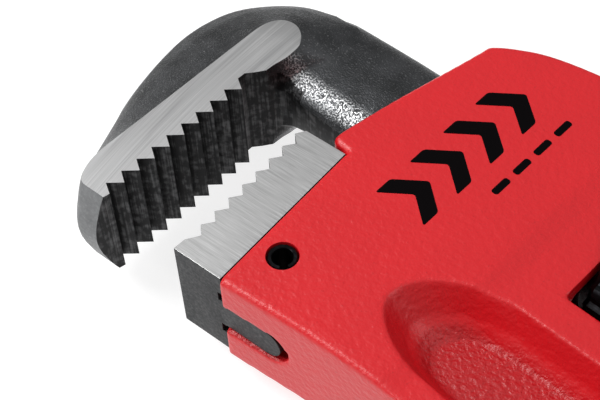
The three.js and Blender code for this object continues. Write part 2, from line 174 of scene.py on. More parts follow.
def add_prism(bm: bmesh.types.BMesh, outline: Sequence[Sequence[float]], half: float) -> None:
    """Adds an outline extruded to both sides of mid-thickness.

    Args:
        bm: The mesh that gets the prism.
        outline: The corners in the drawing plane.
        half: Half the prism's thickness.
    """
    verts = [bm.verts.new((x, y, -half)) for x, y in outline]
    base = bm.faces.new(verts)
    raised = bmesh.ops.extrude_face_region(bm, geom=[base])["geom"]
    tops = [v for v in raised if isinstance(v, bmesh.types.BMVert)]
    bmesh.ops.translate(bm, verts=tops, vec=(0, 0, 2 * half))
    bmesh.ops.recalc_face_normals(bm, faces=bm.faces)


def add_box(bm: bmesh.types.BMesh, low: Sequence[float], high: Sequence[float]) -> None:
    """Adds a box between two corners."""
    size = Vector(high) - Vector(low)
    place = Matrix.Translation((Vector(high) + Vector(low)) / 2) @ Matrix.Diagonal((*size, 1))
    bmesh.ops.create_cube(bm, size=1, matrix=place)


def bevel_sharp(bm: bmesh.types.BMesh, width: float, angle: float = 30.0, segments: int = 2) -> None:
    """Bevels every edge that turns by more than an angle.

    Args:
        bm: The mesh.
        width: The bevel's width in the mesh's own units.
        angle: The smallest turn that counts, in degrees.
        segments: How many strips the bevel has.
    """
    least = math.radians(angle)
    edges = [e for e in bm.edges if len(e.link_faces) == 2 and e.calc_face_angle(0) > least]
    bmesh.ops.bevel(bm, geom=edges, offset=width, offset_type="OFFSET", segments=segments,
                    profile=0.5, affect="EDGES", material=-1, clamp_overlap=True)


def cad_copy(node: str) -> bmesh.types.BMesh:
    """Gives a merged copy of a CAD node, in drawing millimetres.

    Args:
        node: The CAD node's name.

    Returns:
        A new mesh with its doubles merged.
    """
    bm = bmesh.new()
    bm.from_mesh(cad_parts[node].data)
    bm.transform(TO_ROW.inverted())
    bmesh.ops.remove_doubles(bm, verts=bm.verts, dist=0.002)
    return bm


def scratch(name: str, bm: bmesh.types.BMesh,
            materials: Sequence[bpy.types.Material] = ()) -> bpy.types.Object:
    """Makes a working object in millimetres out of a mesh, which it frees.

    Args:
        name: The object's name.
        bm: The mesh.
        materials: The materials of its slots.

    Returns:
        The object, linked to the scene so that modifiers can run on it.
    """
    mesh = bpy.data.meshes.new(name)
    bm.to_mesh(mesh)
    bm.free()
    for material in materials:
        mesh.materials.append(material)
    made = bpy.data.objects.new(name, mesh)
    bpy.context.scene.collection.objects.link(made)
    return made


def settle(obj: bpy.types.Object) -> bpy.types.Object:
    """Applies an object's modifiers and gives the object back."""
    graph = bpy.context.evaluated_depsgraph_get()
    graph.update()
    mesh = bpy.data.meshes.new_from_object(obj.evaluated_get(graph), preserve_all_data_layers=True,
                                           depsgraph=graph)
    obj.modifiers.clear()
    old, obj.data = obj.data, mesh
    bpy.data.meshes.remove(old)
    return obj


def fuse(obj: bpy.types.Object, voxel: float, rounds: int) -> bpy.types.Object:
    """Fuses an object's overlapping shells into one skin and softens its edges.

    Args:
        obj: The object, in millimetres.
        voxel: The size of the skin's faces.
        rounds: How many smoothing rounds follow.

    Returns:
        The same object.
    """
    remesh = obj.modifiers.new("fuse", "REMESH")
    remesh.mode = "VOXEL"
    remesh.voxel_size = voxel
    remesh.use_smooth_shade = True
    smooth = obj.modifiers.new("soften", "SMOOTH")
    smooth.factor = 0.5
    smooth.iterations = rounds
    return settle(obj)


def cut(obj: bpy.types.Object, cutter: bpy.types.Object, operation: str) -> bpy.types.Object:
    """Machines an object with a cutter, whose material the cut faces take.

    Args:
        obj: The object that is cut.
        cutter: The cutter, which is removed afterwards.
        operation: DIFFERENCE, INTERSECT or UNION.

    Returns:
        The same object.
    """
    boolean = obj.modifiers.new("machine", "BOOLEAN")
    boolean.operation = operation
    boolean.object = cutter
    boolean.solver = "EXACT"
    boolean.material_mode = "TRANSFER"
    settle(obj)
    bpy.data.objects.remove(cutter)
    return obj


def place(obj: bpy.types.Object, name: str, body: str, slot: str, hides: Sequence[str] = (),
          crease: float = 35.0) -> bpy.types.Object:
    """Turns a working object in millimetres into a finished piece of the wrench.

    Args:
        obj: The working object.
        name: The piece's name.
        body: The CAD body that it rides on.
        slot: The record's material slot; not used.
        hides: The CAD nodes that it stands for.
        crease: Edges that turn by more than this, in degrees, stay sharp.

    Returns:
        The piece.
    """
    obj.name = obj.data.name = name
    obj.data.transform(TO_ROW)
    obj.data.shade_smooth()
    obj.data.set_sharp_from_angle(angle=math.radians(crease))
    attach(obj, body)
    if hides:
        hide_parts(*hides)
    LOG.info("%s rides on %s, %d faces", name, body, len(obj.data.polygons))
    return obj


# ---------------------------------------------------------------- finishes

class Lay(Enum):
    """How a cutting tool's lines stretch the noise that draws them."""

    ALONG_X = (0.02, 1.0, 1.0)
    ALONG_Z = (1.0, 1.0, 0.02)


@dataclass(frozen=True)
class Finish:
    """What every finish shares: its name, base colour and gloss."""

    name: str
    colour: str
    roughness: float

    def build(self) -> bpy.types.Material:
        """Makes the material with its shader and dresses it."""
        material = bpy.data.materials.new(self.name)
        material.use_nodes = True
        tree = material.node_tree
        shader = next(n for n in tree.nodes if n.type == "BSDF_PRINCIPLED")
        shader.inputs["Base Color"].default_value = srgb(self.colour)
        shader.inputs["Roughness"].default_value = self.roughness
        self.dress(tree, shader, add(tree, "TexCoord").outputs["Object"])
        return material

    def dress(self, tree: bpy.types.NodeTree, shader: bpy.types.Node, place_at: bpy.types.NodeSocket) -> None:
        """Adds the finish's own detail to the shader."""
        raise NotImplementedError


@dataclass(frozen=True)
class PowderCoat(Finish):
    """Polyester powder coat: glossy, with the orange peel that the powder leaves as it flows out, and painted shade
    darkening the handle's sunk web.
    """

    shade: str = "#a80c14"
    peel_mm: float = 1.2
    grain_mm: float = 0.45
    peel_depth_mm: float = 0.15
    sand_mm: float = 1.0
    sand_depth_mm: float = 0.42
    web_half_mm: float = 5.4
    # How far the web's floor is mixed towards the shade colour: painted shade.
    web_painted_shade: float = 0.75
    drift_mm: float = 14.0
    drift_shade: float = 0.16
    pit_shade: float = 0.55

    def dress(self, tree: bpy.types.NodeTree, shader: bpy.types.Node, place_at: bpy.types.NodeSocket) -> None:
        """Adds orange peel all over, the sand's coarser grain on the handle's web, and painted shade that darkens
        the web's floor.
        """
        peel = add(tree, "TexNoise", {"Vector": place_at, "Scale": per_metre(self.peel_mm), "Detail": 1.5,
                                      "Roughness": 0.45})
        grain = add(tree, "TexNoise", {"Vector": place_at, "Scale": per_metre(self.grain_mm), "Detail": 2.0})
        drift = add(tree, "TexNoise", {"Vector": place_at, "Scale": per_metre(self.drift_mm), "Detail": 3.0})
        both = add(tree, "Math", {0: grain.outputs[0], 1: 0.35, 2: peel.outputs[0]}, operation="MULTIPLY_ADD")
        height = add(tree, "SeparateXYZ", {0: place_at}).outputs["Z"]
        offset = add(tree, "Math", {0: height, 1: TO_ROW.translation.z}, operation="SUBTRACT")
        depth = add(tree, "Math", {0: offset.outputs[0]}, operation="ABSOLUTE")
        sunk = add(tree, "MapRange", {"Value": depth.outputs[0], "From Min": (self.web_half_mm + 0.6) * MM,
                                      "From Max": (self.web_half_mm - 0.6) * MM})
        facing = add(tree, "SeparateXYZ", {0: add(tree, "TexCoord").outputs["Normal"]}).outputs["Z"]
        upright = add(tree, "Math", {0: facing}, operation="ABSOLUTE")
        level = add(tree, "MapRange", {"Value": upright.outputs[0], "From Min": 0.45, "From Max": 0.75})
        in_web = add(tree, "Math", {0: sunk.outputs[0], 1: level.outputs[0]}, operation="MULTIPLY")
        sand = add(tree, "TexNoise", {"Vector": place_at, "Scale": per_metre(self.sand_mm), "Detail": 3.0})
        fine = add(tree, "Bump", {"Height": both.outputs[0], "Distance": self.peel_depth_mm * MM, "Strength": 1.0})
        coarse = add(tree, "Bump", {"Height": sand.outputs[0], "Distance": self.sand_depth_mm * MM,
                                    "Strength": in_web.outputs[0], "Normal": fine.outputs[0]})
        tree.links.new(coarse.outputs[0], shader.inputs["Normal"])
        tone = add(tree, "MapRange", {"Value": drift.outputs[0], "From Min": 0.35, "From Max": 0.75})
        pits = add(tree, "MapRange", {"Value": grain.outputs[0], "From Min": 0.62, "From Max": 0.78,
                                      "To Max": self.pit_shade})
        worn = add(tree, "Math", {0: tone.outputs[0], 1: self.drift_shade, 2: pits.outputs[0]},
                   operation="MULTIPLY_ADD")
        # Painted shade: the sunk web's floor is mixed towards the shade colour, on top of the coat's random drift
        # and pits.
        dark = add(tree, "Math", {0: in_web.outputs[0], 1: self.web_painted_shade, 2: worn.outputs[0]},
                   operation="MULTIPLY_ADD", use_clamp=True)
        colour = add(tree, "Mix", {"Factor": dark.outputs[0], "A": srgb(self.colour), "B": srgb(self.shade)},
                     data_type="RGBA")
        tree.links.new(colour.outputs["Result"], shader.inputs["Base Color"])
        shader.inputs["IOR"].default_value = 1.5


@dataclass(frozen=True)
class Ink(Finish):
    """Pad-printed ink: a thin matt film that follows the coat's orange peel."""

    peel_mm: float = 1.15
    peel_depth_mm: float = 0.03

    def dress(self, tree: bpy.types.NodeTree, shader: bpy.types.Node, place_at: bpy.types.NodeSocket) -> None:
        """Adds the coat's relief under the film, and its thin and thick places."""
        peel = add(tree, "TexNoise", {"Vector": place_at, "Scale": per_metre(self.peel_mm), "Detail": 1.5,
                                      "Roughness": 0.45})
        relief = add(tree, "Bump", {"Height": peel.outputs[0], "Distance": self.peel_depth_mm * MM})
        tree.links.new(relief.outputs[0], shader.inputs["Normal"])
        film = add(tree, "MapRange", {"Value": peel.outputs[0], "To Min": self.roughness - 0.08,
                                      "To Max": self.roughness + 0.12})
        tree.links.new(film.outputs[0], shader.inputs["Roughness"])
        shader.inputs["Specular IOR Level"].default_value = 0.03


@dataclass(frozen=True)
class GroundSteel(Finish):
    """Surface-ground tool steel: bright, with the fine arcs that the wheel leaves round its centre."""

    light: str = "#d6d6d6"
    centre_mm: tuple[float, float] = (0.0, 0.0)
    line_mm: float = 0.2
    line_depth_mm: float = 0.01

    def dress(self, tree: bpy.types.NodeTree, shader: bpy.types.Node, place_at: bpy.types.NodeSocket) -> None:
        """Adds the grinding arcs to the colour, the gloss and the relief."""
        centre = TO_ROW @ Vector((*self.centre_mm, 0))
        arm = add(tree, "VectorMath", {0: place_at, 1: centre}, operation="SUBTRACT")
        flat = add(tree, "VectorMath", {0: arm.outputs[0], 1: (1, 1, 0)}, operation="MULTIPLY")
        across = add(tree, "VectorMath", {0: flat.outputs[0]}, operation="LENGTH").outputs["Value"]
        turn = add(tree, "SeparateXYZ", {0: flat.outputs[0]})
        angle = add(tree, "Math", {0: turn.outputs["Y"], 1: turn.outputs["X"]}, operation="ARCTAN2")
        along = add(tree, "Math", {0: angle.outputs[0], 1: 0.02 * max(centre.length, 0.1)}, operation="MULTIPLY")
        drawn = add(tree, "CombineXYZ", {"X": across, "Y": along.outputs[0]}).outputs[0]
        fine = add(tree, "TexNoise", {"Vector": drawn, "Scale": per_metre(self.line_mm), "Detail": 3.0,
                                      "Roughness": 0.65})
        broad = add(tree, "TexNoise", {"Vector": drawn, "Scale": per_metre(self.line_mm * 4), "Detail": 2.0})
        blend = add(tree, "Math", {0: broad.outputs[0], 1: 0.4, 2: fine.outputs[0]}, operation="MULTIPLY_ADD")
        tone = add(tree, "MapRange", {"Value": blend.outputs[0], "From Min": 0.4, "From Max": 1.0})
        colour = add(tree, "Mix", {"Factor": tone.outputs[0], "A": srgb(self.colour), "B": srgb(self.light)},
                     data_type="RGBA")
        tree.links.new(colour.outputs["Result"], shader.inputs["Base Color"])
        gloss = add(tree, "MapRange", {"Value": fine.outputs[0], "From Min": 0.3, "From Max": 0.7,
                                       "To Min": self.roughness - 0.06, "To Max": self.roughness + 0.08})
        tree.links.new(gloss.outputs[0], shader.inputs["Roughness"])
        relief = add(tree, "Bump", {"Height": fine.outputs[0], "Distance": self.line_depth_mm * MM,
                                    "Strength": 0.5})
        tree.links.new(relief.outputs[0], shader.inputs["Normal"])
        shader.inputs["Metallic"].default_value = 1.0


@dataclass(frozen=True)
class BlastedForging(Finish):
    """Shot-blasted drop forging: dull grey scale pecked all over, so that its highlights sparkle."""

    dark: str = "#454647"
    fleck: str = "#dadbdc"
    peck_mm: float = 0.36
    peck_depth_mm: float = 0.2
    fleck_share: float = 0.3
    sparkle_band_mm: tuple[float, float, float] | None = None  # the painted highlight band of bright specks on the neck's fold: its y, and its x from and to
    sparkle_band_wide_mm: float = 0.6
    sparkle_band_fade_mm: float = 2.2

    def dress(self, tree: bpy.types.NodeTree, shader: bpy.types.Node, place_at: bpy.types.NodeSocket) -> None:
        """Adds pecks, flecks and the uneven tone of forging scale, and a painted highlight of bright specks along
        the fold when a band is given.
        """
        peck = add(tree, "TexNoise", {"Vector": place_at, "Scale": per_metre(self.peck_mm), "Detail": 2.5,
                                      "Roughness": 0.6})
        cloud = add(tree, "TexNoise", {"Vector": place_at, "Scale": per_metre(5.0), "Detail": 4.0})
        scale = add(tree, "MapRange", {"Value": cloud.outputs[0], "From Min": 0.3, "From Max": 0.7})
        base = add(tree, "Mix", {"Factor": scale.outputs[0], "A": srgb(self.dark), "B": srgb(self.colour)},
                   data_type="RGBA")
        bright = add(tree, "MapRange", {"Value": peck.outputs[0], "From Min": 0.6, "From Max": 0.76,
                                        "To Max": self.fleck_share})
        share = bright.outputs[0]
        # Painted highlight: more bright flecks in a band along the neck's lower fold, where the key light glints.
        if self.sparkle_band_mm:
            share = add(tree, "Math", {0: share, 1: self.painted_sparkle(tree, place_at, peck.outputs[0])},
                        operation="MAXIMUM").outputs[0]
        colour = add(tree, "Mix", {"Factor": share, "A": base.outputs["Result"], "B": srgb(self.fleck)},
                     data_type="RGBA")
        tree.links.new(colour.outputs["Result"], shader.inputs["Base Color"])
        gloss = add(tree, "MapRange", {"Value": peck.outputs[0], "From Min": 0.35, "From Max": 0.7,
                                       "To Min": self.roughness + 0.1, "To Max": self.roughness - 0.12})
        tree.links.new(gloss.outputs[0], shader.inputs["Roughness"])
        relief = add(tree, "Bump", {"Height": peck.outputs[0], "Distance": self.peck_depth_mm * MM,
                                    "Strength": 0.8})
        tree.links.new(relief.outputs[0], shader.inputs["Normal"])
        shader.inputs["Metallic"].default_value = 1.0


    def painted_sparkle(self, tree: bpy.types.NodeTree, place_at: bpy.types.NodeSocket,
               peck: bpy.types.NodeSocket) -> bpy.types.NodeSocket:
        """Gives the share of bright specks painted along the fold as a highlight.

        Args:
            tree: The material's nodes.
            place_at: The place on the piece.
            peck: The noise that draws the pecks.

        Returns:
            The share, 0 away from the fold.
        """
        line, start, end = self.sparkle_band_mm
        low, high = TO_ROW @ Vector((start, line, 0)), TO_ROW @ Vector((end, line, 0))
        spot = add(tree, "SeparateXYZ", {0: place_at})
        off = add(tree, "Math", {0: spot.outputs["Y"], 1: low.y}, operation="SUBTRACT")
        away = add(tree, "Math", {0: off.outputs[0]}, operation="ABSOLUTE")
        fade = self.sparkle_band_fade_mm * MM
        share = add(tree, "MapRange", {"Value": peck, "From Min": 0.46, "From Max": 0.64,
                                            "To Max": 0.85}).outputs[0]
        for value, zero, one in ((away.outputs[0], self.sparkle_band_wide_mm * MM + fade, self.sparkle_band_wide_mm * MM),
                                 (spot.outputs["X"], low.x - fade, low.x + fade),
                                 (spot.outputs["X"], high.x + fade, high.x - fade)):
            mask = add(tree, "MapRange", {"Value": value, "From Min": zero, "From Max": one})
            share = add(tree, "Math", {0: share, 1: mask.outputs[0]}, operation="MULTIPLY").outputs[0]
        return share


@dataclass(frozen=True)
class Blackened(Finish):
    """Black-oxide steel: a thin dark skin, slightly uneven, on a turned, broached or drawn surface."""

    worn: str = "#3a3a3c"
    lay: Lay = Lay.ALONG_Z
    line_mm: float = 0.5

    def dress(self, tree: bpy.types.NodeTree, shader: bpy.types.Node, place_at: bpy.types.NodeSocket) -> None:
        """Adds the tool's lines and the skin's patchy tone."""
        drawn = add(tree, "Mapping", {"Vector": place_at, "Scale": self.lay.value})
        line = add(tree, "TexNoise", {"Vector": drawn.outputs[0], "Scale": per_metre(self.line_mm), "Detail": 3.0,
                                      "Roughness": 0.7})
        patch = add(tree, "TexNoise", {"Vector": place_at, "Scale": per_metre(1.6), "Detail": 4.0})
        both = add(tree, "Math", {0: line.outputs[0], 1: patch.outputs[0]}, operation="MULTIPLY")
        tone = add(tree, "MapRange", {"Value": both.outputs[0], "From Min": 0.22, "From Max": 0.42})
        colour = add(tree, "Mix", {"Factor": tone.outputs[0], "A": srgb(self.colour), "B": srgb(self.worn)},
                     data_type="RGBA")
        tree.links.new(colour.outputs["Result"], shader.inputs["Base Color"])
        relief = add(tree, "Bump", {"Height": both.outputs[0], "Distance": 0.04 * MM, "Strength": 0.5})
        tree.links.new(relief.outputs[0], shader.inputs["Normal"])
        shader.inputs["Metallic"].default_value = 0.85


@dataclass(frozen=True)
class LitPaper(Finish):
    """White paper lit from below too, as on a light table, so that shadows stay pale."""

    glow: float = 0.74

    def dress(self, tree: bpy.types.NodeTree, shader: bpy.types.Node, place_at: bpy.types.NodeSocket) -> None:
        """Adds the paper's faint tooth and its glow."""
        tooth = add(tree, "TexNoise", {"Vector": place_at, "Scale": per_metre(0.8), "Detail": 2.0})
        relief = add(tree, "Bump", {"Height": tooth.outputs[0], "Distance": 0.02 * MM, "Strength": 0.2})
        tree.links.new(relief.outputs[0], shader.inputs["Normal"])
        shader.inputs["Emission Color"].default_value = srgb("#ffffff")
        shader.inputs["Emission Strength"].default_value = self.glow


@dataclass
class Finishes:
    """The wrench's materials, each made once."""

    red: bpy.types.Material = field(init=False)
    ink: bpy.types.Material = field(init=False)
    heel_ground: bpy.types.Material = field(init=False)
    heel_side: bpy.types.Material = field(init=False)
    tip_face: bpy.types.Material = field(init=False)
    pad_ground: bpy.types.Material = field(init=False)
    forged: bpy.types.Material = field(init=False)
    broached: bpy.types.Material = field(init=False)
    oxide: bpy.types.Material = field(init=False)
    spring: bpy.types.Material = field(init=False)
    paper: bpy.types.Material = field(init=False)

    def __post_init__(self) -> None:
        """Builds every material."""
        # Glossy red with orange peel: broad soft highlights on the head, a leathery grain and painted shade on the
        # web.
        self.red = PowderCoat("red_powder_coat", "#ca101a", 0.38).build()
        # Flat black marks that take no highlight, so that they read as print on the coat.
        self.ink = Ink("black_pad_print", "#060405", 0.6).build()
        # Bright steel with straight grinding lines across the heel jaw: the lightest face of the head.
        heel_wheel = HEEL_TO_DRAWING @ Vector((5, -3000, 0))
        self.heel_ground = GroundSteel("ground_steel_heel", "#9d9d9d", 0.46, light="#cfcfcf", line_mm=0.15,
                                       centre_mm=heel_wheel.xy[:]).build()
        # Bright steel with long arcs along the hook jaw's pad, calmer than the heel's.
        self.pad_ground = GroundSteel("ground_steel_pad", "#9f9fa0", 0.48, light="#c6c6c6",
                                      centre_mm=(246, 51.4), line_mm=0.26).build()
        # Plain dull grey on the heel jaw's tongue and ends, where the wheel never came.
        self.heel_side = BlastedForging("scaled_steel_heel", "#49494a", 0.55, dark="#3d3e3f", fleck="#5c5c5c",
                                        peck_mm=0.6, peck_depth_mm=0.02).build()
        # Satin mid grey on the hook's tip, which stands out between the pad and the black teeth.
        self.tip_face = BlastedForging("satin_steel_tip", "#868788", 0.55, dark="#747576", fleck="#a0a0a0",
                                       peck_mm=0.6, peck_depth_mm=0.02).build()
        # Dark pecked grey round the hook jaw, with a painted highlight of bright specks along the neck's lower
        # fold.
        self.forged = BlastedForging("shot_blasted_forging", "#525355", 0.38, dark="#3a3b3c", fleck="#f0f1f2",
                                     sparkle_band_mm=(40.6, -16.5, 26.0)).build()
        # Near-black cut faces of the teeth and the throat, with the broach's lines through the thickness; also laid
        # as painted shade on the heel's tooth flanks and on the neck beside the throat.
        self.broached = Blackened("broached_black_steel", "#161617", 0.45, worn="#555556").build()
        # Deep satin black on the nut and the pin, with small grey highlights on its edges.
        self.oxide = Blackened("black_oxide_steel", "#08080a", 0.34, worn="#26262a", lay=Lay.ALONG_X).build()
        # Blue-grey sheen of tempered strip and wire under the shank.
        self.spring = Blackened("blued_spring_steel", "#2b3038", 0.3, worn="#596069", lay=Lay.ALONG_X).build()
        # Even white ground with pale shadows.
        self.paper = LitPaper("white_paper", "#a2a2a2", 0.9).build()


# ---------------------------------------------------------------- the wrench's sub-assemblies

@dataclass
class Casting:
    """The red handle casting: housing, nut window and I-beam grip in one, with its print."""

    finishes: Finishes
    voxel: float = 0.52
    soften: int = 4
    most_triangles: int = 190_000
    face: float = 12.0
    pin: tuple[float, float] = (16.56, 3.3)
    pin_hole: float = 3.06
    seat: float = 11.08
    seat_span: tuple[float, float] = (-6.2, 28.2)
    cheek: float = 3.95
    stock: float = 0.9
    plug_radius: float = 4.0
    film: float = 0.04
    marks: int = 4
    chevron_x: tuple[float, float, float] = (19.0, 24.75, 30.5)
    chevron_y: tuple[float, float] = (26.0, 9.4)  # the first one's y, and the step to the next
    chevron_rise: float = 4.4
    chevron_arm: float = 4.1
    dash_x: tuple[float, float] = (34.4, 35.9)
    dash_y: tuple[float, float] = (40.0, 6.1)
    dash_long: float = 4.3
    mark_corner: float = 0.55
    sunk: float = 0.1  # how far the marks reach under the coat's face

    def build(self) -> None:
        """Makes the casting's softened skin and the print on both of its faces."""
        bm = cad_copy("handle_casting")
        self.add_allowance(bm)
        skin = scratch("casting", bm, [self.finishes.red])
        fuse(skin, self.voxel, self.soften)
        self.thin(skin)
        self.machine(skin)
        place(skin, "handle_casting_skin", "handle", "red_powder_coat", ["handle_casting"], crease=50)
        self.build_print()

    def add_allowance(self, bm: bmesh.types.BMesh) -> None:
        """Fills the pin's hole and the seat, which are machined once the skin is soft."""
        for side in (-1, 1):
            middle, deep = side * (self.face + self.cheek) / 2, self.face - self.cheek
            spot = HEEL_TO_DRAWING @ Vector((*self.pin, 0))
            plug = Matrix.Translation((spot.x, spot.y, middle))
            bmesh.ops.create_cone(bm, cap_ends=True, segments=32, radius1=self.plug_radius,
                                  radius2=self.plug_radius, depth=deep, matrix=plug)
            ends = sorted((side * self.cheek, side * (self.face - 0.7)))
            low = Vector((self.seat - self.stock, self.seat_span[0], ends[0]))
            high = Vector((self.seat + 1, self.seat_span[1], ends[1]))
            stock = bmesh.ops.create_cube(bm, size=1)["verts"]
            size, middle_point = high - low, (high + low) / 2
            bmesh.ops.transform(bm, verts=stock, matrix=HEEL_TO_DRAWING @ Matrix.Translation(middle_point)
                                @ Matrix.Diagonal((*size, 1)))

    def thin(self, skin: bpy.types.Object) -> None:
        """Thins the skin where it is flat, down to the triangles that a piece may have."""
        skin.data.calc_loop_triangles()
        ratio = self.most_triangles / len(skin.data.loop_triangles)
        if ratio < 1:
            decimate = skin.modifiers.new("thin", "DECIMATE")
            decimate.ratio = ratio
            settle(skin)

    def machine(self, skin: bpy.types.Object) -> None:
        """Drills the pin's hole and mills the heel jaw's seat."""
        bm = bmesh.new()
        spot = HEEL_TO_DRAWING @ Vector((*self.pin, 0))
        bmesh.ops.create_cone(bm, cap_ends=True, segments=48, radius1=self.pin_hole, radius2=self.pin_hole,
                              depth=40, matrix=Matrix.Translation((spot.x, spot.y, 0)))
        cut(skin, scratch("drill", bm, [self.finishes.red]), "DIFFERENCE")
        bm = bmesh.new()
        add_box(bm, (-8, -20, -20), (self.seat, 28.9, 20))
        bm.transform(HEEL_TO_DRAWING)
        cut(skin, scratch("mill", bm, [self.finishes.red]), "DIFFERENCE")

    def build_print(self) -> None:
        """Prints a row of chevrons and a broken line on both faces."""
        shapes = []
        left, middle, right = self.chevron_x
        rise, arm = self.chevron_rise, self.chevron_arm
        for k in range(self.marks):
            y = self.chevron_y[0] + self.chevron_y[1] * k
            shapes.append([(left, y), (middle, y + rise), (right, y), (right, y + arm), (middle, y + rise + arm),
                           (left, y + arm)])
        near, far = self.dash_x
        for k in range(self.marks):
            y = self.dash_y[0] + self.dash_y[1] * k
            shapes.append([(near, y), (far, y), (far, y + self.dash_long), (near, y + self.dash_long)])
        bm = bmesh.new()
        for side in (-1, 1):
            for shape in shapes:
                verts = [bm.verts.new((x, y, side * self.face)) for x, y in shape]
                bm.faces.new(verts)
        bmesh.ops.bevel(bm, geom=list(bm.verts), offset=self.mark_corner, offset_type="OFFSET", segments=4,
                        profile=0.5, affect="VERTICES", material=-1)
        bmesh.ops.recalc_face_normals(bm, faces=bm.faces)
        raised = bmesh.ops.extrude_face_region(bm, geom=list(bm.faces))["geom"]
        for vert in (v for v in raised if isinstance(v, bmesh.types.BMVert)):
            vert.co.z += math.copysign(self.film, vert.co.z)
        for vert in bm.verts:
            if abs(vert.co.z) <= self.face + self.film / 2:
                vert.co.z -= math.copysign(self.sunk, vert.co.z)
        bmesh.ops.recalc_face_normals(bm, faces=bm.faces)
        marks = scratch("print", bm, [self.finishes.ink])
        place(marks, "handle_print", "handle", "red_powder_coat")


@dataclass
class HeelJaw:
    """The pinned jaw: a ground steel block with a row of small teeth; its spring pin is a piece of its own."""

    finishes: Finishes
    edge: float = 0.08
    ground_from: float = 10.0
    teeth_to: float = 2.2

    def build(self) -> None:
        """Makes the jaw with crisp, faintly broken edges, and dresses its faces, with painted shade on the tooth
        flanks.
        """
        bm = cad_copy("heel_jaw")
        bmesh.ops.dissolve_limit(bm, angle_limit=math.radians(0.5), verts=bm.verts, edges=bm.edges)
        bevel_sharp(bm, self.edge, 20, 2)
        for face in bm.faces:
            spot = HEEL_TO_DRAWING.inverted() @ face.calc_center_median()
            if abs(face.normal.z) > 0.7 and abs(spot.z) > self.ground_from:
                face.material_index = 0
            else:
                # The tooth flanks take the near-black broached finish, which also stands as painted shade for the
                # shadow in the gullets.
                face.material_index = 2 if spot.x < self.teeth_to and spot.y > 0 else 1
        jaw = scratch("heel_jaw", bm, [self.finishes.heel_ground, self.finishes.heel_side, self.finishes.broached])
        place(jaw, "heel_jaw_ground", "handle", "ground_steel", ["heel_jaw"], crease=15)


